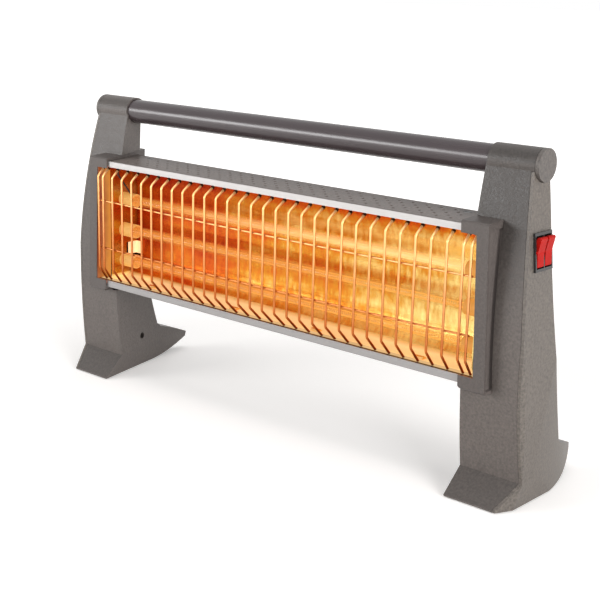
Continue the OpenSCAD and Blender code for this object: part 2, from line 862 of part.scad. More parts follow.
// Angle strips that hold the back of the reflector to the top of the housing
module reflector_brackets() {
    back = refl_back + refl_t + seam;
    under = sheet_t + 2 * seam;
    color(steel) in_place() for (i = [-1, 1]) difference() {
        along_x(i * bracket_x - bracket_w / 2, i * bracket_x + bracket_w / 2) polygon([
            [bracket_y - 5, top_line(bracket_y - 5) - under - 1],
            [bracket_y - 5, top_line(bracket_y - 5) - under],
            [back + 1, top_line(back + 1) - under],
            [back + 1, tube_mid_z - 8],
            [back, tube_mid_z - 8],
            [back, top_line(back) - under - 1]
        ]);
        translate([i * bracket_x, bracket_y, housing_z1 - 5])
            cylinder(h = 12, d = screw_d + 0.2, $fn = 24);
    }
}

// Spring clips that hold down the lower lip of the reflector
module reflector_clips() {
    lip = refl_mid - refl_half;
    color(steel) in_place() for (x = clip_x) along_x(x - clip_w / 2, x + clip_w / 2) polygon([
        [clip_y, lip + 0.5],
        [clip_y + 1, lip + 1.9],
        [clip_y + 3.5, lip + 2.1],
        [clip_y + 6, lip + 0.6],
        [clip_y + 6, lip + 0.2],
        [clip_y, lip + 0.2]
    ]);
}

// ---- heating tubes ----
module quartz_tube(z) {
    half = ceramic_x + ceramic_seat;
    color(clear) in_place() difference() {
        rod_x(-half, half, [tube_y, z], tube_d, 48);
        rod_x(-half - 1, half + 1, [tube_y, z], tube_d - 2 * tube_wall, 48);
    }
}

module heating_coil(z) {
    half = ceramic_x + ceramic_seat - 1;
    color(glow) in_place() rod_x(-half, half, [tube_y, z], coil_d);
}

module ceramic_caps(side) {
    color(ceramic_white) in_place() sided(side) for (z = tube_z) difference() {
        rod_x(ceramic_x, ceramic_x + ceramic_l, [tube_y, z], ceramic_d, 48);
        rod_x(ceramic_x - 1, ceramic_x + ceramic_seat + seam, [tube_y, z], tube_d + 0.4, 48);
        rod_x(ceramic_x, ceramic_x + ceramic_l + 1, [tube_y, z], stud_d + 0.2);
    }
}

module terminal_studs() {
    stud_x = ceramic_x + ceramic_seat - 1 + seam;
    color(steel) in_place() for (s = [-1, 1]) sided(s) for (z = tube_z)
        rod_x(stud_x, ceramic_x + ceramic_l + stud_l, [tube_y, z], stud_d);
}

module terminal_nuts() {
    color(steel) in_place() for (s = [-1, 1]) sided(s) for (z = tube_z) difference() {
        translate([nut_x, tube_y, z]) rotate([0, 90, 0]) cylinder(h = nut_t, d = 2 * stud_d, $fn = 6);
        rod_x(nut_x - 1, nut_x + nut_t + 1, [tube_y, z], stud_d + 0.1);
    }
}

// ---- grille ----
function bow_y(x) = bow_r - sqrt(bow_r * bow_r - x * x) - wire_bow;

module grille_wires() {
    color(wire_steel) in_place() for (x = wire_x) lead([
        [x, wire_seat_y, trim_low_z + seam],
        [x, bow_y(x), trim_low_z + wire_bend_low],
        [x, bow_y(x), trim_top_z - wire_bend_top],
        [x, wire_seat_y, trim_top_z - seam]
    ], wire_d, 1.2);
}

module grille_cross_wires() {
    reach = asin(cross_end / bow_r);
    back = wire_d / 2 + cross_d / 2 + 0.1;
    color(wire_steel) in_place() for (z = [cross_z0, cross_z1])
        translate([0, bow_r - wire_bow, z]) rotate([0, 0, -90 - reach])
        rotate_extrude(angle = 2 * reach, $fn = 720) translate([bow_r - back, 0])
        circle(d = cross_d, $fn = 16);
}

// ---- switch ----
// Switch frame: x out of the leg, y along it to the back, z up it
module at_switch() {
    translate([outer_x(switch_z), switch_y, switch_z]) rotate([0, -switch_lean, 0]) children();
}

module switch_housing() {
    body = [bezel_w - 2.6, bezel_h - 2.6];
    way_y = rocker_w + 2 * rocker_gap;
    way_z = rocker_h + 2 * rocker_gap;
    color(black) in_place() at_switch() difference() {
        union() {
            box_about(0, bezel_t, [bezel_w, bezel_h]);
            box_about(-switch_depth, 0.5, body);
        }
        for (i = [-1, 1]) translate([0, i * rocker_off, 0]) {
            box_about(-rocker_in, 13, [way_y, way_z]);
            translate([rocker_pivot, 0, 0]) rotate([90, 0, 0])
                cylinder(h = way_y + 2 * pin_l, d = pin_d + pin_play, center = true, $fn = 32);
        }
    }
}

// A rocker at rest, upper half standing out
module rocker(i) {
    tip = rocker_h / 2;
    color(red) in_place() at_switch()
        translate([rocker_pivot, i * rocker_off, 0]) rotate([0, rocker_tilt, 0]) {
            along_y(-rocker_w / 2, rocker_w / 2) polygon([
                [-3.6, -3.5],
                [-3.6, 3.5],
                [-0.6, tip - 0.6],
                [1.6, tip - 0.3],
                [2.6, tip - 1.2],
                [1.3, 0],
                [2.6, 1.2 - tip],
                [1.6, 0.3 - tip],
                [-0.6, 0.6 - tip]
            ]);
            rotate([90, 0, 0])
                cylinder(h = rocker_w + 2 * rocker_gap + 2 * pin_l - 0.6, d = pin_d, center = true, $fn = 32);
        }
}

module switch_terminals() {
    color(brass) in_place() at_switch() for (y = blade_y)
        translate([-switch_depth - blade_l - seam, y - 0.4, -bezel_h / 2 + blade_low])
        cube([blade_l, 0.8, 6.3]);
}

// ---- mains inlet and wiring in the right leg ----
module terminal_block() {
    color(pale) in_place() difference() {
        translate([pad_x + seam, block_y, block_z]) cube(block_size);
        for (i = [0:2]) translate([pad_x, block_y + block_way[1] + i * block_way[2], block_z]) {
            translate([block_way[0], 0, 3]) cylinder(h = 20, d = 3.4, $fn = 24);
            translate([8, 0, 6.5]) rotate([0, 90, 0]) cylinder(h = 20, d = 3.2, $fn = 24);
        }
    }
}

module tilt_switch() {
    color(black) in_place() translate([pad_x + seam, tilt_y, tilt_z]) {
        cube(tilt_size);
        for (y = [4, 10]) translate([4, y, tilt_size[2] - 1]) cube([0.8, 3, tilt_pin_l]);
    }
}

module inlet_bush() {
    at = [inlet_x, inlet_z];
    outer = inlet_face + inlet_flange_t + seam;
    inner = inlet_face + seam - inlet_depth;
    color(black) in_place() difference() {
        union() {
            along_y(inlet_face + seam, outer) translate(at) circle(d = inlet_flange_d, $fn = 48);
            along_y(inner, inlet_face + seam) translate(at) circle(d = inlet_bush_d, $fn = 48);
        }
        along_y(inner - 1, outer + 1) translate(at) circle(d = inlet_bore, $fn = 48);
    }
}

module cord_clamp() {
    color(pale) in_place() difference() {
        translate([inlet_x - clamp_size[0] / 2, clamp_y, clamp_z + clamp_rise + seam]) cube(clamp_size);
        at_clamp_screws(clamp_z) cylinder(h = 20, d = clamp_bore, $fn = 24);
    }
}

module clamp_screws() {
    color(steel) in_place() at_clamp_screws(clamp_z + clamp_rise + seam + clamp_size[2]) {
        translate([0, 0, seam]) cylinder(h = 2, d = 5.5, $fn = 32);
        translate([0, 0, -9]) cylinder(h = 9.5, d = clamp_bore - 0.3, $fn = 24);
    }
}

// Insulated leads between the inlet, the switches and the right-hand studs
module leads_right() {
    riser = blade_mid_x;
    top = blade_low_z - 0.2;
    low = tube_mid_z - 30;
    hole_y = lead_hole_at[0] - 2.5;
    blades = [for (y = blade_y) switch_y + y];
    pin_x = pad_x + seam + 4.4;
    pin_z = tilt_z + tilt_size[2] + tilt_pin_l - 0.7;
    way = [pad_x + block_way[0], block_y + block_way[1]];
    color(black) in_place() {
        lead([
            [riser, blades[0], top],
            [riser, blades[0], tilt_z + 30],
            [pin_x, tilt_y + 5.5, pin_z + 3.7],
            [pin_x, tilt_y + 5.5, pin_z]
        ], lead_d);
        lead([
            [pin_x, tilt_y + 11.5, pin_z],
            [pin_x, tilt_y + 11.5, pin_z + 2.7],
            [way[0], way[1], block_z + 24],
            [way[0], way[1], block_z + 4]
        ], lead_d);
        lead([
            [riser, blades[1], top],
            [riser, hole_y, low + 30],
            [riser, hole_y, low],
            [lug_x + 2.4, hole_y, low],
            [lug_x + 2.4, tube_y + lug_y, tube_z[0]]
        ], lead_d);
        lead([
            [riser, blades[3], top],
            [riser, blades[3], low],
            [lug_x, blades[3], low],
            [lug_x, tube_y + lug_y, tube_z[2]]
        ], lead_d);
        lead([[lug_x, tube_y - lug_y, tube_z[1]], [lug_x, tube_y - lug_y, tube_z[2]]], lead_d);
    }
}

// Link between the left-hand studs
module leads_left() {
    color(black) in_place() mirror([1, 0, 0])
        lead([[lug_x, tube_y - lug_y, tube_z[0]], [lug_x, tube_y - lug_y, tube_z[2]]], lead_d);
}

// Return lead behind the reflector, from the left-hand studs to the inlet
module long_leads() {
    out_x = cap_x(cap_outer_x, cap_z0) + 5.2;
    way_x = pad_x + block_way[0];
    way_y = block_y + block_way[1] + block_way[2];
    hole = [lead_hole_at[0] + 1, lead_hole_at[1] - 4.2];
    color(dark_grey) in_place() lead([
        [-lug_x, tube_y + lug_y, tube_z[2]],
        [-lug_x, run_y - 2, run_z - 3],
        [-refl_end_x - 4, run_y, run_z],
        [refl_end_x + 4, run_y, run_z],
        [nut_x, run_y, run_z],
        [nut_x + 1, hole[0], hole[1]],
        [out_x, hole[0], hole[1]],
        [out_x, hole[0] + 3, cap_z0 - 5],
        [way_x - 1.5, block_y - 3, cap_z0 - 8],
        [way_x, way_y, block_z + 21],
        [way_x, way_y, block_z + 4]
    ], run_d);
}

// Short lead seen in front of the left end of the top tube
module cap_lead() {
    color(wire_steel) in_place() lead([
        [-ceramic_x - 6, wire_seat_y + 2.4, trim_top_z - seam],
        [-ceramic_x - 5.6, wire_seat_y + 3.6, trim_top_z - 8],
        [-ceramic_x - 3, tube_y - 4, tube_z[0] + ceramic_d / 2 + 0.5]
    ], 1.4);
}

// ---- feet and fixings ----
module foot_pads() {
    color(black) in_place() for (s = [-1, 1]) sided(s) for (p = pad_at)
        translate([p[0], p[1], 0]) cylinder(h = pad_t, d = pad_d, $fn = 32);
}

// Slotted screw along x with the underside of its head at the given distance from the middle
module side_screw(x, at, head_d, head_t, d, length) {
    difference() {
        union() {
            rod_x(x - head_t, x, at, head_d);
            rod_x(x, x + length, at, d, 24);
        }
        translate([x - head_t - 1, at[0] - head_d, at[1] - 0.4]) cube([1.8, 2 * head_d, 0.8]);
    }
}

module cover_screws() {
    color(steel) in_place() for (s = [-1, 1]) sided(s) for (p = cover_screw_at)
        side_screw(joint_x(p[1]) - 4.1, p, cover_screw_head, 2.2, cover_screw_d, 15);
}

module cap_screws() {
    length = cap_wall + leg_wall + 1.8;
    color(steel) in_place() for (s = [-1, 1]) sided(s) for (p = cap_screw_at)
        side_screw(cap_x(cap_outer_x, p[1]) - cap_wall - 0.25, p, cap_screw_head, 1.8, cap_screw_d, length);
}

module housing_screws() {
    color(black) in_place() at_top_screws(0.7) difference() {
        union() {
            cylinder(h = 0.6, d = screw_head_d, $fn = 32);
            translate([0, 0, -5]) cylinder(h = 5.2, d = screw_d, $fn = 24);
        }
        translate([-screw_head_d, -0.4, 0.3]) cube([2 * screw_head_d, 0.8, 1]);
    }
}

leg_shell(-1);  // leg_shell_left
leg_shell(1);  // leg_shell_right
leg_cover(-1);  // leg_cover_left
leg_cover(1);  // leg_cover_right
hub_plug(-1);  // hub_plug_left
hub_plug(1);  // hub_plug_right
handle_tube();
end_cap(-1);  // end_cap_left
end_cap(1);  // end_cap_right
housing_shell();
top_trim();
bottom_trim();
reflector();
reflector_end(-1);  // reflector_end_left
reflector_end(1);  // reflector_end_right
reflector_brackets();
reflector_clips();
quartz_tube(tube_z[0]);  // quartz_tube_top
quartz_tube(tube_z[1]);  // quartz_tube_middle
quartz_tube(tube_z[2]);  // quartz_tube_bottom
heating_coil(tube_z[0]);  // heating_coil_top
heating_coil(tube_z[1]);  // heating_coil_middle
heating_coil(tube_z[2]);  // heating_coil_bottom
ceramic_caps(-1);  // ceramic_caps_left
ceramic_caps(1);  // ceramic_caps_right
terminal_studs();
terminal_nuts();
grille_wires();
grille_cross_wires();
switch_housing();
rocker(-1);  // rocker_front
rocker(1);  // rocker_rear
switch_terminals();
terminal_block();
tilt_switch();
inlet_bush();
cord_clamp();
leads_right();
leads_left();
long_leads();
cap_lead();
foot_pads();
cover_screws();
cap_screws();
housing_screws();
clamp_screws();
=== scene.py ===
import math
from itertools import accumulate

import bpy
import numpy as np
from mathutils import Matrix, Vector


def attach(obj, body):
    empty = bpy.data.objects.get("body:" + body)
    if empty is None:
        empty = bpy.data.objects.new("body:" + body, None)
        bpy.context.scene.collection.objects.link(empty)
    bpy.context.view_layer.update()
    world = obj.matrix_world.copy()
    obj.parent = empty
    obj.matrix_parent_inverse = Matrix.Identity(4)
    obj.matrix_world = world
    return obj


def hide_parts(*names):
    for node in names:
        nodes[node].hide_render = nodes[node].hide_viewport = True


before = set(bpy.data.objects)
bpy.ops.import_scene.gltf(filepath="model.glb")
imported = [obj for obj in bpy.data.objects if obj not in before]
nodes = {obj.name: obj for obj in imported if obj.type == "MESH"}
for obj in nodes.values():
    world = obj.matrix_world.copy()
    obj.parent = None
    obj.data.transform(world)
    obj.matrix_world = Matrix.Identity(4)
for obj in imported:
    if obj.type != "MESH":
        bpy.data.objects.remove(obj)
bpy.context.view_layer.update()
print("frame loaded:", len(nodes), "nodes")

mm = 0.001
grilleY = -59.2 * mm  # depth of the grille plane in this frame


def addObject(name, data):
    thing = bpy.data.objects.new(name, data)
    bpy.context.scene.collection.objects.link(thing)
    return thing


# The photograph's camera: its lens, two of its axes, and its place, with y from the grille plane
cameraSpec = {
    "lens": 74.97, "sensor": 36.0, "nearest": 0.05, "farthest": 30.0,
    "right": (0.7466, 0.6649, 0.0232), "ahead": (-0.6393, 0.7266, -0.2517),
    "place": (0.6768, -0.7193, 0.3708),
}


def makeCamera(spec):
    data = bpy.data.cameras.new("camera")
    data.lens = spec["lens"]
    data.sensor_width = spec["sensor"]
    data.clip_start = spec["nearest"]
    data.clip_end = spec["farthest"]
    camera = addObject("camera", data)
    right = Vector(spec["right"]).normalized()
    ahead = Vector(spec["ahead"]).normalized()
    up = right.cross(ahead).normalized()
    x, y, z = spec["place"]
    camera.matrix_world = Matrix((
        (right.x, up.x, -ahead.x, x),
        (right.y, up.y, -ahead.y, y + grilleY),
        (right.z, up.z, -ahead.z, z),
        (0, 0, 0, 1),
    ))
    bpy.context.scene.camera = camera


makeCamera(cameraSpec)


def plug(tree, target, value):
    if isinstance(value, Field):
        tree.links.new(value.socket, target)
    else:
        target.default_value = value


# Three numbers become an opaque colour; a link or one number stays as it is
def colour(value):
    return (*value, 1.0) if isinstance(value, tuple) and len(value) == 3 else value


# A value on its way through a material; its operators add Math nodes
class Field:
    def __init__(self, tree, socket):
        self.tree = tree
        self.socket = socket

    def math(self, operation, *values):
        node = self.tree.nodes.new("ShaderNodeMath")
        node.operation = operation
        for target, value in zip(node.inputs, values):
            plug(self.tree, target, value)
        return Field(self.tree, node.outputs[0])

    def size(self):
        return self.math("ABSOLUTE", self)

    def __add__(self, other):
        return self.math("ADD", self, other)

    def __radd__(self, other):
        return self.math("ADD", other, self)

    def __sub__(self, other):
        return self.math("SUBTRACT", self, other)

    def __rsub__(self, other):
        return self.math("SUBTRACT", other, self)

    def __mul__(self, other):
        return self.math("MULTIPLY", self, other)

    def __rmul__(self, other):
        return self.math("MULTIPLY", other, self)

    def __truediv__(self, other):
        return self.math("DIVIDE", self, other)

    def clamp(self):
        return self.math("MAXIMUM", self.math("MINIMUM", self, 1.0), 0.0)

    # 0 up to the level, then a straight rise to 1 over the soft width
    def above(self, level, soft):
        return ((self - level) / soft).clamp()

    # 1 at the centre, falling as e to the minus square of the offset in widths
    def bell(self, centre, width):
        offset = (self - centre) / width
        return self.math("EXPONENT", offset * offset * -1.0)


# One material: a node tree with a Principled surface
class Finish:
    def __init__(self, name, **constants):
        self.material = bpy.data.materials.new(name)
        self.material.use_nodes = True
        self.tree = self.material.node_tree
        self.tree.nodes.clear()
        output = self.tree.nodes.new("ShaderNodeOutputMaterial")
        self.surface = self.tree.nodes.new("ShaderNodeBsdfPrincipled")
        self.tree.links.new(self.surface.outputs[0], output.inputs[0])
        for key, value in constants.items():
            self.set(key.replace("_", " "), value)
        coordinates = self.tree.nodes.new("ShaderNodeTexCoord")
        self.place = Field(self.tree, coordinates.outputs["Object"])

    def set(self, key, value):
        plug(self.tree, self.surface.inputs[key], colour(value))

    def add(self, kind, settings, values, output=0):
        node = self.tree.nodes.new(kind)
        for key, value in settings.items():
            setattr(node, key, value)
        for key, value in values.items():
            plug(self.tree, node.inputs[key], value)
        return Field(self.tree, node.outputs[output])

    # The place x one factor for each axis, so that noise runs in streaks along the smallest
    def stretched(self, x, y, z):
        return self.add("ShaderNodeVectorMath", {"operation": "MULTIPLY"}, {0: self.place, 1: (x, y, z)})

    def noise(self, scale, detail, vector=None):
        values = {"Vector": vector or self.place, "Scale": scale, "Detail": detail}
        return self.add("ShaderNodeTexNoise", {}, values)

    def cells(self, scale):
        return self.add("ShaderNodeTexVoronoi", {}, {"Vector": self.place, "Scale": scale})

    def axis(self, index):
        return self.add("ShaderNodeSeparateXYZ", {}, {0: self.place}, index)

    def mix(self, factor, first, second):
        values = {0: factor, 6: colour(first), 7: colour(second)}
        return self.add("ShaderNodeMix", {"data_type": "RGBA"}, values, 2)

    # base colour x factor
    def tint(self, base, factor):
        values = {0: 1.0, 6: colour(base), 7: self.grey(factor)}
        return self.add("ShaderNodeMix", {"data_type": "RGBA", "blend_type": "MULTIPLY"}, values, 2)

    def grey(self, value):
        return self.add("ShaderNodeCombineXYZ", {}, {0: value, 1: value, 2: value})

    def bump(self, height, strength, distance):
        values = {"Height": height, "Strength": strength, "Distance": distance}
        self.set("Normal", self.add("ShaderNodeBump", {}, values))


# Grain of a mould: shade = (1 + grain x (fine - 0.5)) x up to 0.1 darker pits x 3 % clouds, where fine is
# sharpened 2 mm noise; roughness = rough + 0.16 x (fine - 0.5) + 0.06 x (clouds - 0.5)
def grainedFinish(name, rough, grain):
    finish = Finish(name, IOR=1.46)
    fine = finish.noise(520.0, 3.0).above(0.3, 0.4)
    coarse = finish.noise(60.0, 2.0)
    specks = finish.cells(700.0).above(0.10, 0.5)
    shade = (1.0 - grain * 0.5) + grain * fine
    shade = shade * (0.90 + 0.10 * specks) * (0.97 + 0.06 * coarse)
    finish.set("Roughness", rough + 0.16 * (fine - 0.5) + 0.06 * (coarse - 0.5))
    finish.bump(fine + 0.6 * specks, 0.35, 0.00022)
    return finish, shade


# base colour x the shade of the mould's grain
def mouldedPlastic(name, base, rough, grain):
    finish, shade = grainedFinish(name, rough, grain)
    finish.set("Base Color", finish.tint(base, shade))
    return finish.material


# Moulded plastic x (1 - 0.36 painted shade on faces that look forward and up) x (1 - 0.36 painted shade high
# on the right leg)
def legPlastic(name, base, rough, grain):
    finish, shade = grainedFinish(name, rough, grain)
    facing = finish.add("ShaderNodeNewGeometry", {}, {}, 1)
    back, up = (finish.add("ShaderNodeSeparateXYZ", {}, {0: facing}, i) for i in (1, 2))
    # painted shade: faces that look forward and up, and the upper part of the right leg, are darkened
    lean = (-1.0 * back).above(0.3, 0.4) * up.above(0.03, 0.15)
    high = finish.axis(0).above(0.15, 0.05) * finish.axis(2).above(0.15, 0.06)
    finish.set("Base Color", finish.tint(base, shade * (1.0 - 0.36 * lean) * (1.0 - 0.36 * high)))
    return finish.material


# The opening that the end caps frame; its outer wall stands at wallX at the height middleZ and leans in
# above it; the painted glow reaches as far as depth behind the grille plane
opening = {
    "wallX": 211.8 * mm, "lean": 0.0386, "middleZ": 165.9 * mm, "low": 91.0 * mm, "high": 200.0 * mm,
    "depth": 26.0 * mm,
}


# Moulded plastic whose walls inside the opening carry a painted glow of the tubes' light with clouds, dark
# red in front and orange 20 mm behind the grille plane; the shade in the narrow gap beside the leg is lifted
# by a faint painted grey light
def capPlastic(name, base, rough, grain):
    finish, shade = grainedFinish(name, rough, grain)
    finish.set("Base Color", finish.tint(base, shade))
    x, y, z = (finish.axis(i) for i in range(3))
    wall = x.size() + opening["lean"] * (z - opening["middleZ"])
    outside = wall.above(opening["wallX"], 0.5 * mm)
    shallow = 1.0 - y.above(grilleY + opening["depth"], 4.0 * mm)
    inside = (1.0 - outside) * shallow * y.above(grilleY + 1.5 * mm, 1.0 * mm)
    inside = inside * z.above(opening["low"], 2.0 * mm) * (1.0 - z.above(opening["high"], 1.5 * mm))
    clouds = finish.noise(60.0, 3.0).above(0.3, 0.4)
    warmth = 0.4 * clouds + 0.8 * y.above(grilleY + 10.0 * mm, 10.0 * mm)
    # painted glow of the tubes' light on the walls inside the opening
    glow = finish.mix(warmth, (0.22, 0.018, 0.006), (0.76, 0.28, 0.045))
    beside = outside * shallow * y.above(grilleY + 2.6 * mm, 1.0 * mm)
    beside = beside * (1.0 - z.above(opening["high"], 3.0 * mm))
    # painted light: a faint grey emission lifts the shade in the gap beside the leg
    faint = finish.tint((0.034, 0.029, 0.027), beside)
    lit = {0: finish.tint(glow, inside), 1: faint}
    finish.set("Emission Color", finish.add("ShaderNodeVectorMath", {"operation": "ADD"}, lit))
    finish.set("Emission Strength", 0.9)
    return finish.material


# base colour x (0.95 + 0.1 x streaks along x); roughness = rough + 0.1 x (streaks - 0.5)
def smoothPaint(name, base, rough):
    finish = Finish(name, IOR=1.5)
    streak = finish.noise(1.0, 3.0, finish.stretched(14.0, 260.0, 260.0))
    peel = finish.noise(320.0, 2.0)
    finish.set("Base Color", finish.tint(base, 0.95 + 0.1 * streak))
    finish.set("Roughness", rough + 0.1 * (streak - 0.5))
    finish.bump(peel, 0.12, 0.0001)
    return finish.material


# grey enamel x (0.7 + 0.5 x 2 mm noise) with dark and pale specks; roughness = 0.42 + 0.2 x (noise - 0.5)
def speckledEnamel(name, base):
    finish = Finish(name, IOR=1.5, Specular_IOR_Level=0.12)
    fine = finish.noise(430.0, 4.0).above(0.25, 0.5)
    dark = finish.cells(300.0).above(0.16, 0.12)
    pale = finish.noise(330.0, 1.0, finish.stretched(1.0, 1.3, 1.0)).above(0.62, 0.05)
    shade = (0.7 + 0.5 * fine) * (0.7 + 0.3 * dark) + 0.3 * pale
    finish.set("Base Color", finish.tint(base, shade))
    finish.set("Roughness", 0.42 + 0.2 * (fine - 0.5))
    finish.bump(fine, 0.3, 0.0002)
    return finish.material


# dark brown of painted shade x (0.6 + 0.8 x cloud), nearly without shine; roughness = 0.7 + 0.2 x (cloud -
# 0.5)
def paintedShadeMetal(name, base):
    finish = Finish(name, Specular_IOR_Level=0.08)
    cloud = finish.noise(300.0, 3.0)
    finish.set("Base Color", finish.tint(base, 0.6 + 0.8 * cloud))
    finish.set("Roughness", 0.7 + 0.2 * (cloud - 0.5))
    finish.bump(cloud, 0.3, 0.0001)
    return finish.material


# Brushing along x: shade = 0.88 + 0.2 x streaks + 0.05 x clouds;
# roughness = rough + 0.18 x (streaks - 0.5) + 0.05 x clouds
def brushedFinish(name, metallic, rough):
    finish = Finish(name, Metallic=metallic)
    streak = finish.noise(1.0, 3.0, finish.stretched(6.0, 900.0, 900.0))
    cloud = finish.noise(45.0, 2.0)
    finish.set("Roughness", rough + 0.18 * (streak - 0.5) + 0.05 * cloud)
    finish.bump(streak, 0.1, 0.00005)
    return finish, 0.88 + 0.2 * streak + 0.05 * cloud, cloud


# metal colour x the shade of the brushing
def brushedMetal(name, base, rough):
    finish, shade, _ = brushedFinish(name, 1.0, rough)
    finish.set("Base Color", finish.tint(base, shade))
    return finish.material


# Brushed metal, the lower strip x 0.66 as painted shade; 3.9 mm behind the grille plane the flange turns dark
# brown, and from 6 mm on the lower one carries a painted glow from the lip of the reflector
def trimMetal(name, base):
    finish, shade, cloud = brushedFinish(name, 0.5, 0.38)
    y = finish.axis(1)
    upper = finish.axis(2).above(150.0 * mm, 1.0 * mm)
    darkFlange = y.above(grilleY + 3.9 * mm, 0.3 * mm)
    lit = y.above(grilleY + 6.0 * mm, 0.6 * mm) * (1.0 - upper)
    # painted shade: the lower strip is darker x 0.66
    bright = finish.tint(base, shade * (0.66 + 0.34 * upper))
    darkBrown = finish.tint((0.035, 0.012, 0.006), 0.6 + 0.8 * cloud)
    finish.set("Base Color", finish.mix(darkFlange, bright, darkBrown))
    # painted glow of the reflector's lip on the lower flange
    finish.set("Emission Color", finish.tint((0.80, 0.52, 0.24), lit * (0.7 + 0.6 * cloud)))
    finish.set("Emission Strength", 0.8)
    return finish.material


# base colour x (0.94 + 0.12 x noise); roughness = rough + 0.08 x (noise - 0.5)
def glossPlastic(name, base, rough=0.2, shine=0.5):
    finish = Finish(name, IOR=1.5, Specular_IOR_Level=shine)
    cloud = finish.noise(150.0, 3.0)
    finish.set("Base Color", finish.tint(base, 0.94 + 0.12 * cloud))
    finish.set("Roughness", rough + 0.08 * (cloud - 0.5))
    finish.bump(cloud, 0.08, 0.0001)
    return finish.material


# Chalky colour x (0.92 + 0.14 x pores) under a steady painted glow of the tubes' light x (0.7 + 0.6 x noise),
# both redder at +x;
# roughness = 0.66 + 0.1 x pores
def firedClay(name, base, glow):
    finish = Finish(name)
    pores = finish.noise(700.0, 3.0)
    right = finish.axis(0).above(0.0, 0.01)
    finish.set("Base Color", finish.tint(finish.mix(right, base, (0.44, 0.20, 0.04)), 0.92 + 0.14 * pores))
    finish.set("Roughness", 0.66 + 0.1 * pores)
    # painted glow of the tubes' light on the ceramic caps
    glow = finish.mix(right, glow, (0.38, 0.17, 0.03))
    finish.set("Emission Color", finish.tint(glow, 0.7 + 0.6 * finish.noise(120.0, 2.0)))
    finish.set("Emission Strength", 1.0)
    finish.bump(pores, 0.3, 0.0001)
    return finish.material


# Where painted light of the tubes falls on the reflector: bright bands of painted reflection (height, width,
# strength), the lower lip under lipZ, a painted shade at the top above shadeZ, and the right end; riseX and
# riseLength give the climb of the painted light towards +x
paintedGlowMap = {
    "bands": ((174.5 * mm, 7.5 * mm, 1.0), (145.0 * mm, 6.5 * mm, 0.5), (117.0 * mm, 6.5 * mm, 0.5)),
    "riseX": -170.0 * mm, "riseLength": 360.0 * mm, "lipZ": 95.2 * mm, "warmZ": 100.0 * mm,
    "shadeZ": 182.0 * mm, "rightX": 187.0 * mm, "edgeX": 194.5 * mm,
}

# The painted bright patch of light in the left corner, and its painted dark rim of shade: right side, front
# and lower edge of each
patch = {
    "bright": (-193.4 * mm, -27.2 * mm, 114.0 * mm), "rim": (-192.4 * mm, -29.2 * mm, 112.4 * mm),
    "top": 125.4 * mm, "edge": 0.3 * mm,
}


# Painted glow = the map above + streaks and clouds; the sheet is bright metal whose tint runs dark red,
# orange, gold, pale with the painted glow of the tubes' light, and roughness = 0.16 + 0.16 x streaks
def glowPaintedSheet(name, lift=0.0):
    finish = Finish(name, Specular_IOR_Level=0.25, Specular_Tint=(1.0, 0.6, 0.25))
    x, y, z = (finish.axis(i) for i in range(3))
    streak = finish.noise(1.0, 4.0, finish.stretched(7.0, 60.0, 170.0))
    cloud = finish.noise(30.0, 5.0)
    mottle = finish.noise(1.0, 4.0, finish.stretched(320.0, 80.0, 110.0))
    level = z + 8.0 * mm * (cloud - 0.5)
    rightward = ((x - paintedGlowMap["riseX"]) / paintedGlowMap["riseLength"]).clamp()
    lip = 1.0 - z.above(paintedGlowMap["lipZ"], 3.0 * mm)
    bands = sum((level.bell(height, width) * share for height, width, share in paintedGlowMap["bands"]), 0.0)
    # painted light of the tubes: reflected bright bands, a bright lower lip and a climb towards +x
    paintedGlow = 0.12 + lift + 0.22 * bands + 0.66 * rightward + 1.2 * lip
    paintedGlow = paintedGlow + 0.95 * (cloud - 0.5) + 0.5 * (streak - 0.5) + 0.7 * (mottle - 0.5) * (0.3 + rightward)
    paintedGlow = paintedGlow + 0.5 * x.above(paintedGlowMap["rightX"], 6.0 * mm) + 0.8 * x.above(paintedGlowMap["edgeX"], 3.0 * mm)
    paintedGlow = paintedGlow + 0.22 * (1.0 - z.above(paintedGlowMap["warmZ"], 14.0 * mm))
    # painted shade at the top of the reflector
    paintedGlow = paintedGlow - (0.02 + 0.38 * rightward) * z.above(paintedGlowMap["shadeZ"], 6.0 * mm)
    warm = finish.mix(paintedGlow.above(0.0, 0.3), (0.38, 0.030, 0.012), (0.56, 0.115, 0.015))
    warm = finish.mix(paintedGlow.above(0.3, 0.3), warm, (0.61, 0.28, 0.028))
    warm = finish.mix(paintedGlow.above(0.55, 0.45), warm, (0.82, 0.68, 0.25))
    warm = finish.mix(lip, warm, (0.92, 0.68, 0.32))

    def corner(right, front, low):
        across = (1.0 - x.above(right, patch["edge"])) * y.above(front, patch["edge"])
        return across * z.above(low, patch["edge"]) * (1.0 - z.above(patch["top"], patch["edge"]))

    # painted bright patch of light with a painted dark rim of shade
    bright = corner(*patch["bright"])
    warm = finish.mix(corner(*patch["rim"]), warm, (0.015, 0.004, 0.002))
    warm = finish.mix(bright, warm, (0.96, 0.76, 0.46))
    finish.set("Base Color", warm)
    finish.set("Metallic", (0.78 - 0.4 * lip) * (1.0 - bright))
    finish.set("Roughness", 0.16 + 0.16 * streak)
    # painted glow: emission strongest on the lip and the bright patch
    shine = 0.05 + 0.45 * lip + 0.55 * bright
    finish.set("Emission Color", finish.tint(warm, shine * (0.7 + 0.6 * streak)))
    finish.set("Emission Strength", 1.0)
    finish.bump(finish.noise(1.0, 2.0, finish.stretched(30.0, 120.0, 120.0)), 0.3, 0.0006)
    return finish.material


tubeLevels = (167.0 * mm, 138.5 * mm, 110.0 * mm)  # heights of the three tube axes


# How far along the tubes, and whether it is the top one
def alongTube(finish):
    return ((finish.axis(0) + 140.0 * mm) / (300.0 * mm)).clamp()


def onTopTube(finish):
    return finish.axis(2).above(150.0 * mm, 4.0 * mm)


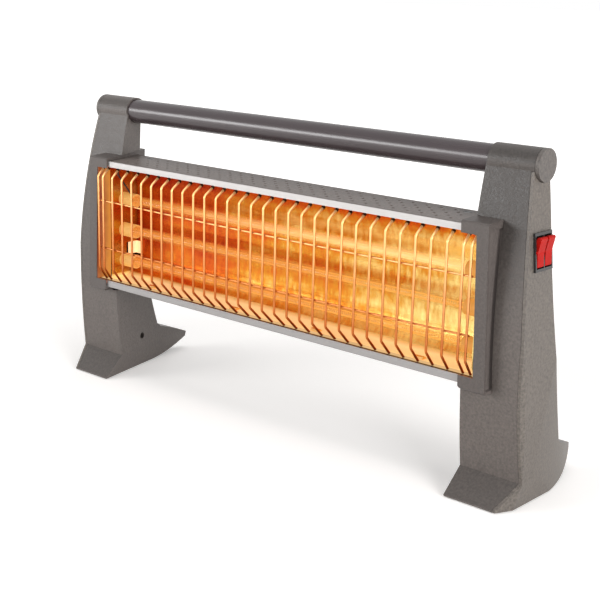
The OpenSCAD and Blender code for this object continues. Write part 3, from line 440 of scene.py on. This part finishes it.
# Glow of the tubes: streaked orange at the left; towards +x the top one turns pale and the two lower
# ones fade into the colour of the sheet
def tubeGlow(finish, streak):
    far = finish.mix(onTopTube(finish), (0.66, 0.34, 0.07), (0.92, 0.66, 0.27))
    near = finish.mix(streak, (0.52, 0.15, 0.022), (0.78, 0.38, 0.08))
    return finish.mix(alongTube(finish), near, finish.tint(far, 0.8 + 0.4 * streak))


# Clear tube: most opaque along the line of the coil behind its wall, found by height, and the two lower
# ones clearer towards +x
def glowingQuartz(name):
    finish = Finish(name, Roughness=0.12, IOR=1.45, Specular_IOR_Level=0.15)
    streak = finish.noise(1.0, 3.0, finish.stretched(20.0, 200.0, 200.0))
    warm = tubeGlow(finish, streak)
    z = finish.axis(2)
    core = sum((z.bell(level + 1.2 * mm, 2.6 * mm) for level in tubeLevels), 0.0)
    finish.set("Base Color", warm)
    finish.set("Emission Color", warm)
    finish.set("Emission Strength", 0.36)
    faint = 1.0 - 0.7 * alongTube(finish) * (1.0 - onTopTube(finish))
    finish.set("Alpha", (0.08 + (0.3 + 0.4 * streak) * core) * faint)
    return finish.material


# Hot resistance wire: the same glow, brighter
def hotWire(name):
    finish = Finish(name, Roughness=0.5)
    warm = tubeGlow(finish, finish.noise(1.0, 3.0, finish.stretched(40.0, 300.0, 300.0)))
    finish.set("Base Color", warm)
    finish.set("Emission Color", warm)
    finish.set("Emission Strength", 0.85)
    return finish.material


# Plated wire tinted by the painted light of the tubes: mottled, from copper below to a pale gold painted
# highlight at the top, and plain dark copper below the lower bend; roughness = 0.26 + 0.2 x mottle
def glowPaintedWire(name):
    finish = Finish(name, Metallic=1.0, Specular_Tint=(0.70, 0.30, 0.10))
    z = finish.axis(2)
    mottle = finish.noise(160.0, 3.0)
    high = ((z - 100.0 * mm) / (100.0 * mm) + 0.3 * (mottle - 0.5)).clamp()
    warm = finish.mix(high, (0.44, 0.11, 0.023), (0.86, 0.50, 0.21))
    warm = finish.mix(z.above(104.0 * mm, 2.0 * mm), (0.44, 0.11, 0.028), warm)
    finish.set("Base Color", warm)
    finish.set("Roughness", 0.26 + 0.2 * mottle)
    # painted glow of the tubes' light, strongest above 190 mm
    finish.set("Emission Color", finish.tint(warm, 0.1 + 0.7 * z.above(190.0 * mm, 4.0 * mm)))
    finish.set("Emission Strength", 0.5)
    return finish.material


finishes = {
    "leg": legPlastic("leg_plastic", (0.116, 0.099, 0.090), 0.46, 0.42),
    "cover": mouldedPlastic("cover_plastic", (0.125, 0.108, 0.094), 0.46, 0.64),
    "cap": capPlastic("cap_plastic", (0.087, 0.073, 0.067), 0.5, 0.3),
    "dark": glossPlastic("dark_plastic", (0.032, 0.030, 0.031), 0.35),
    "plug": mouldedPlastic("plug_plastic", (0.103, 0.09, 0.082), 0.44, 0.7),
    "tube": smoothPaint("handle_paint", (0.050, 0.037, 0.040), 0.26),
    "housing": speckledEnamel("housing_enamel", (0.196, 0.166, 0.152)),
    "trim": trimMetal("trim_metal", (0.47, 0.455, 0.45)),
    "steel": brushedMetal("plated_steel", (0.62, 0.61, 0.60), 0.3),
    "brass": brushedMetal("brass", (0.75, 0.55, 0.25), 0.3),
    "clip": brushedMetal("clip_metal", (0.9, 0.55, 0.2), 0.3),
    "clay": firedClay("ceramic", (0.60, 0.37, 0.12), (0.42, 0.21, 0.05)),
    "sheet": glowPaintedSheet("reflector_sheet"),
    "ends": glowPaintedSheet("reflector_ends", 0.3),
    "quartz": glowingQuartz("quartz"),
    "coil": hotWire("coil"),
    "wire": glowPaintedWire("grille_wire"),
    "cross": glowPaintedWire("grille_cross"),
    # painted shade at the tops of the upright wires
    "wireEndShade": paintedShadeMetal("wire_end_shade", (0.030, 0.008, 0.003)),
    "sleeve": mouldedPlastic("lead_sleeve", (0.02, 0.016, 0.016), 0.6, 0.2),
    "pale": mouldedPlastic("pale_plastic", (0.62, 0.60, 0.55), 0.4, 0.1),
    "switch": glossPlastic("switch_black", (0.026, 0.024, 0.024)),
    "rocker": glossPlastic("rocker_red", (0.42, 0.008, 0.005), 0.34, 0.07),
    "rubber": mouldedPlastic("rubber", (0.02, 0.02, 0.021), 0.7, 0.3),
}
print("finishes made:", len(finishes))

# Which nodes wear which finish
outfit = {
    "leg": ("leg_shell_left", "leg_shell_right"),
    "cover": ("leg_cover_left", "leg_cover_right"),
    "plug": ("hub_plug_left", "hub_plug_right"),
    "cap": ("end_cap_left", "end_cap_right"),
    "tube": ("handle_tube",),
    "housing": ("housing_shell",),
    "trim": ("top_trim", "bottom_trim"),
    "ends": ("reflector_end_left", "reflector_end_right"),
    "steel": (
        "reflector_brackets", "terminal_studs", "terminal_nuts", "cover_screws", "cap_screws", "clamp_screws",
    ),
    "clip": ("reflector_clips",),
    "quartz": ("quartz_tube_top", "quartz_tube_middle", "quartz_tube_bottom"),
    "clay": ("ceramic_caps_left", "ceramic_caps_right"),
    "cross": ("grille_cross_wires",),
    "switch": ("switch_housing",),
    "rocker": ("rocker_front", "rocker_rear"),
    "brass": ("switch_terminals",),
    "pale": ("terminal_block", "cord_clamp"),
    "dark": ("tilt_switch", "inlet_bush", "housing_screws"),
    "sleeve": ("leads_right", "leads_left", "long_leads", "cap_lead"),
    "rubber": ("foot_pads",),
}

for finish, names in outfit.items():
    for name in names:
        mesh = nodes[name].data
        mesh.materials.clear()
        mesh.materials.append(finishes[finish])

# Rounded edges in millimetres, and the nodes that have them
softEdges = {
    0.5: (
        "leg_shell_left", "leg_shell_right", "leg_cover_left", "leg_cover_right", "end_cap_left",
        "end_cap_right", "hub_plug_left", "hub_plug_right", "rocker_front", "rocker_rear",
    ),
    0.3: ("switch_housing",),
    0.2: ("top_trim", "bottom_trim"),
}


def soften(name, width):
    bevel = nodes[name].modifiers.new("soft_edges", "BEVEL")
    bevel.width = width
    bevel.segments = 3
    bevel.limit_method = "ANGLE"
    bevel.angle_limit = math.radians(32)
    bevel.harden_normals = True
    bevel.use_clamp_overlap = True


for width, names in softEdges.items():
    for name in names:
        soften(name, width * mm)
print("nodes dressed")


def addMesh(name, points, faces, material):
    mesh = bpy.data.meshes.new(name)
    mesh.from_pydata(points.tolist(), [], faces)
    mesh.materials.append(material)
    mesh.polygons.foreach_set("use_smooth", [True] * len(mesh.polygons))
    mesh.update()
    return addObject(name, mesh)


# Vectors divided by their lengths
def unit(vectors):
    return vectors / np.linalg.norm(vectors, axis=-1, keepdims=True)


# Four-sided faces between the neighbours of a grid of point numbers
def quads(grid):
    around = (grid[..., :-1, :-1], grid[..., :-1, 1:], grid[..., 1:, 1:], grid[..., 1:, :-1])
    return np.stack(around, axis=-1).reshape(-1, 4)


# A side vector carried one step along its path without twist: its part along the tangent is taken off
def carried(side, tangent):
    return unit(side - tangent * np.sum(side * tangent, axis=-1, keepdims=True))


# Round bars along paths, which come as bars x points x 3: at each point a circle stands square to the
# path, drawn as centre + radius x (cos x normal + sin x binormal). The normal starts square to x and is
# carried along the path, for all bars at once; both ends are closed
def makeBars(name, paths, radius, sides, material):
    tangent = unit(np.gradient(paths, axis=1))
    start = np.cross(tangent[:, 0], (1.0, 0.0, 0.0))
    steps = accumulate(np.swapaxes(tangent, 0, 1), carried, initial=start)
    normal = np.stack([*steps][1:], axis=1)
    binormal = np.cross(tangent, normal)
    turn = np.linspace(0, 2 * np.pi, sides, endpoint=False)[:, None]
    circle = np.cos(turn) * normal[:, :, None] + np.sin(turn) * binormal[:, :, None]
    points = paths[:, :, None] + radius * circle
    grid = np.arange(points[..., 0].size).reshape(points.shape[:3])
    walls = quads(np.concatenate([grid, grid[..., :1]], axis=-1))
    faces = [*walls.tolist(), *grid[:, 0, ::-1].tolist(), *grid[:, -1].tolist()]
    return addMesh(name, points.reshape(-1, 3), faces, material)


# Paths with their inner corners rounded: each corner becomes an arc of the given radius that touches both
# legs, worked out as a weighted turn from its start to its end about its centre
def rounded(corners, radius, steps):
    t = np.linspace(0, 1, steps)[None, :, None]
    path = [corners[:, :1]]
    for k in range(1, corners.shape[1] - 1):
        corner = corners[:, k:k + 1]
        before = unit(corners[:, k - 1:k] - corner)
        after = unit(corners[:, k + 1:k + 2] - corner)
        half = 0.5 * np.arccos(np.sum(before * after, axis=-1, keepdims=True))
        centre = corner + unit(before + after) * radius / np.sin(half)
        start = corner + before * radius / np.tan(half) - centre
        end = corner + after * radius / np.tan(half) - centre
        turn = np.pi - 2 * half
        path.append(centre + (np.sin((1 - t) * turn) * start + np.sin(t * turn) * end) / np.sin(turn))
    path.append(corners[:, -1:])
    return np.concatenate(path, axis=1)


# Upright wires: a seat on each trim, a face that bows forward in the middle, and two bends between them
grille = {
    "count": 30, "pitch": 13.5 * mm, "endGap": 6.6 * mm, "bow": 4.5 * mm, "radius": 0.98 * mm, "sides": 12,
    "low": 94.5 * mm, "high": 199.6 * mm, "bendLow": 106.3 * mm, "bendHigh": 191.3 * mm,
    "seat": 8.2 * mm, "bend": 3.0 * mm, "bendSteps": 6,
}


# The four corners of every wire; the face lies at -bow x (1 - (x / reach) squared) from the grille plane
def wireCorners(g):
    last = (g["count"] - 1) / 2 * g["pitch"]
    reach = last + g["endGap"]
    x = np.concatenate([[-reach], np.arange(g["count"]) * g["pitch"] - last, [reach]])
    face = grilleY - g["bow"] * (1 - (x / reach) ** 2)
    seat = np.full_like(x, grilleY + g["seat"])
    y = np.stack([seat, face, face, seat], axis=1)
    z = np.tile([g["low"], g["bendLow"], g["bendHigh"], g["high"]], (len(x), 1))
    return np.stack([np.tile(x[:, None], (1, 4)), y, z], axis=-1)


corners = wireCorners(grille)
paths = rounded(corners, grille["bend"], grille["bendSteps"])
wires = makeBars("grille_upright_wires", paths, grille["radius"], grille["sides"], finishes["wire"])
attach(wires, "heater")
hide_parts("grille_wires")
print("grille made")

# Dark sleeves of painted shade where the upright wires enter the top strip, between two shares of the upper
# slope
wireEndShade = {"from": 0.70, "to": 0.85, "radius": 1.5 * mm, "sides": 12}

slope = corners[:, 3:] - corners[:, 2:3]
ends = corners[:, 2:3] + slope * np.array([wireEndShade["from"], wireEndShade["to"]])[:, None]
wireEndShades = makeBars("grille_wire_end_shades", ends, wireEndShade["radius"], wireEndShade["sides"], finishes["wireEndShade"])
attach(wireEndShades, "heater")
print("collars made")

coilSpec = {
    "half": 187.6 * mm, "depth": 28.0 * mm, "radius": 2.15 * mm, "wire": 0.34 * mm, "turn": 2.0 * mm,
    "sides": 5, "perTurn": 12,
}


# Helix about the axis of a tube: radius x cos in y and radius x sin in z, one turn for each step of turn
def makeCoil(name, node, level, spec):
    turns = 2 * spec["half"] / spec["turn"]
    t = np.linspace(0, 1, int(turns * spec["perTurn"]))
    angle = 2 * np.pi * turns * t
    path = np.stack([
        -spec["half"] + 2 * spec["half"] * t,
        grilleY + spec["depth"] + spec["radius"] * np.cos(angle),
        level + spec["radius"] * np.sin(angle),
    ], axis=1)
    coil = makeBars(name, path[None], spec["wire"], spec["sides"], finishes["coil"])
    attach(coil, "heater")
    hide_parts(node)


for label, level in zip(("top", "middle", "bottom"), tubeLevels):
    makeCoil("coil_wound_" + label, "heating_coil_" + label, level, coilSpec)
print("coils made")

bowl = {
    "front": 10.6 * mm, "back": 43.0 * mm, "mid": 147.05 * mm, "half": 53.85 * mm, "square": 4.0,
    "end": 199.7 * mm, "thick": 0.6 * mm, "ripple": 0.12 * mm, "rippleLength": 17.0 * mm,
    "around": 72, "along": 90,
}


# Curved sheet: half of a squared ellipse in y and z, y = cos ^ (2 / square) and z = sin ^ (2 / square),
# drawn along x with faint ripples; the outer skin is the same curve, one thickness larger
def makeReflector(b):
    a = np.linspace(np.pi / 2, -np.pi / 2, b["around"])
    x = np.linspace(-b["end"], b["end"], b["along"])
    power = 2 / b["square"]
    ripple = b["ripple"] * np.sin(x / b["rippleLength"])[:, None] * np.sin(3 * a) ** 2

    def skin(grow):
        depth = b["front"] + (b["back"] + grow - b["front"]) * np.abs(np.cos(a)) ** power
        height = b["mid"] + (b["half"] + grow) * np.sign(np.sin(a)) * np.abs(np.sin(a)) ** power
        return np.stack(np.broadcast_arrays(x[:, None], grilleY + depth + ripple, height), axis=-1)

    points = np.stack([skin(0.0), skin(b["thick"])])
    grid = np.arange(points[..., 0].size).reshape(points.shape[:3])
    inner, outer = quads(grid[0]), quads(grid[1])[:, ::-1]
    lips = quads(grid[:, :, 0]), quads(grid[::-1, :, -1])
    rims = quads(grid[::-1, 0]), quads(grid[:, -1])
    faces = np.concatenate([inner, outer, *lips, *rims]).tolist()
    return addMesh("reflector_sheet", points.reshape(-1, 3), faces, finishes["sheet"])


sheet = makeReflector(bowl)
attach(sheet, "heater")
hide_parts("reflector")
print("reflector made")


# 1 for rays that see the background: from the camera, off gloss and through glass
def seenRay(tree):
    path = tree.nodes.new("ShaderNodeLightPath")
    kinds = ("Is Camera Ray", "Is Glossy Ray", "Is Transmission Ray")
    camera, glossy, clear = (Field(tree, path.outputs[kind]) for kind in kinds)
    return (camera + glossy + clear).clamp()


# White paper; for seen rays it shines by lift, and by more further than reach from the heater
floorSpec = {"half": 14.0, "lift": 0.26, "more": 0.40, "reach": 0.30, "fade": 0.5}


def makeFloor(spec):
    finish = Finish("floor_paper", Roughness=0.9)
    seen = seenRay(finish.tree)
    paper = finish.tint((0.98, 0.955, 0.935), 0.99 + 0.01 * finish.noise(3.0, 2.0))
    finish.set("Base Color", finish.mix(seen, (0.93, 0.91, 0.88), paper))
    away = finish.add("ShaderNodeVectorMath", {"operation": "LENGTH"}, {0: finish.place}, 1)
    shine = spec["lift"] + spec["more"] * away.above(spec["reach"], spec["fade"])
    finish.set("Emission Color", finish.mix(seen, (0.0, 0.0, 0.0), finish.grey(shine)))
    finish.set("Emission Strength", 1.0)
    square = np.array([(-1.0, -1.0, 0.0), (1.0, -1.0, 0.0), (1.0, 1.0, 0.0), (-1.0, 1.0, 0.0)])
    floor = addMesh("studio_floor", square * spec["half"], [(0, 1, 2, 3)], finish.material)


makeFloor(floorSpec)

lamps = {
    "right_side": {"place": (2.2, -0.7, 0.7), "target": (0.2, 0, 0.12), "size": (1.2, 1.0), "power": 42.0},
    "front_left": {"place": (-1.9, -2.3, 0.76), "target": (0, 0, 0.18), "size": (1.7, 0.75), "power": 44.0},
}
sunSpec = {"lean": (0.02, 0.1, -1.0), "strength": 0.75, "angle": 40.0}
skySpec = {"light": 0.33, "seen": 1.0}


def aim(lamp, direction):
    lamp.rotation_euler = Vector(direction).to_track_quat("-Z", "Y").to_euler()


def addLamp(name, spec):
    data = bpy.data.lights.new(name, "AREA")
    data.shape = "RECTANGLE"
    data.size, data.size_y = spec["size"]
    data.energy = spec["power"]
    lamp = addObject(name, data)
    lamp.location = spec["place"]
    aim(lamp, Vector(spec["target"]) - Vector(spec["place"]))


def addSun(spec):
    data = bpy.data.lights.new("high_sun", "SUN")
    data.energy = spec["strength"]
    data.angle = math.radians(spec["angle"])
    aim(addObject("high_sun", data), spec["lean"])


# White sky: a weak one lights the heater, and seen rays meet one of strength 1
def addSky(spec):
    world = bpy.data.worlds.new("studio")
    bpy.context.scene.world = world
    world.use_nodes = True
    tree = world.node_tree
    tree.nodes.clear()
    shader = tree.nodes.new("ShaderNodeMixShader")
    plug(tree, shader.inputs[0], seenRay(tree))
    for slot, strength in ((1, spec["light"]), (2, spec["seen"])):
        sky = tree.nodes.new("ShaderNodeBackground")
        sky.inputs["Color"].default_value = (1.0, 1.0, 1.0, 1.0)
        sky.inputs["Strength"].default_value = strength
        tree.links.new(sky.outputs[0], shader.inputs[slot])
    tree.links.new(shader.outputs[0], tree.nodes.new("ShaderNodeOutputWorld").inputs[0])


for name, spec in lamps.items():
    addLamp(name, spec)
addSun(sunSpec)
addSky(skySpec)
bpy.context.scene.view_settings.view_transform = "Standard"
print("studio made")
